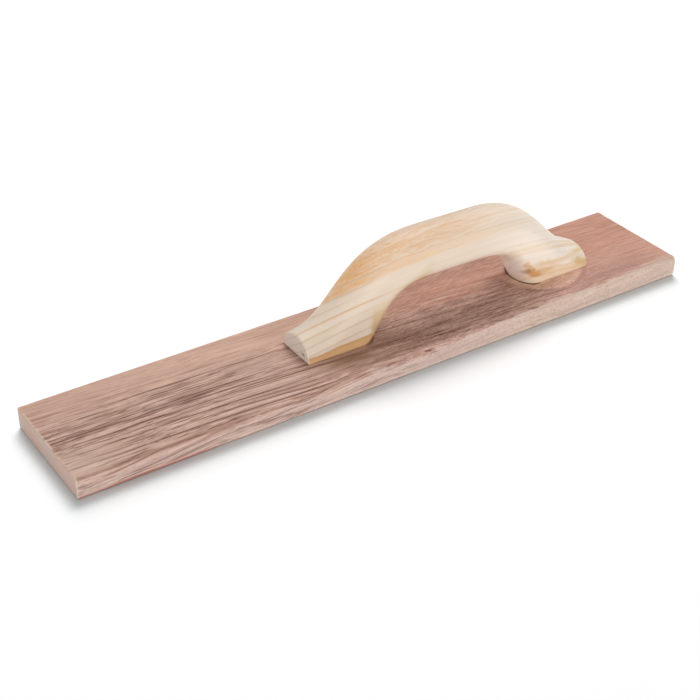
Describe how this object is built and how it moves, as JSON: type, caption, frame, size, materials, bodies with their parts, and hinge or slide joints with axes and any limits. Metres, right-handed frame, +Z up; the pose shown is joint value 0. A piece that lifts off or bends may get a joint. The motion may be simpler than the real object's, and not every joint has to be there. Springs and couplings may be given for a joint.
{
  "type": "wooden hand float",
  "caption": "Wooden hand float: a long flat hardwood blade with a sawn, rounded D-shaped pine handle screwed on from below, for smoothing fresh concrete.",
  "frame": {"origin": "centre of the blade's flat working (bottom) face", "axes": "+X along the blade towards the end the handle sits nearer to, +Y across the blade, +Z up from the working face through the handle"},
  "size_m": [0.508, 0.0888, 0.0862],
  "materials": {
    "blade_wood": "unfinished open-pored reddish-brown hardwood, planed",
    "handle_wood": "unfinished clear pine, sanded smooth",
    "screw_steel": "bright zinc-plated steel"
  },
  "bodies": {
    "root": {"blade": "blade_wood", "handle": "handle_wood", "screw_front_1": "screw_steel", "screw_front_2": "screw_steel", "screw_rear_1": "screw_steel", "screw_rear_2": "screw_steel"}
  },
  "joints": []
}
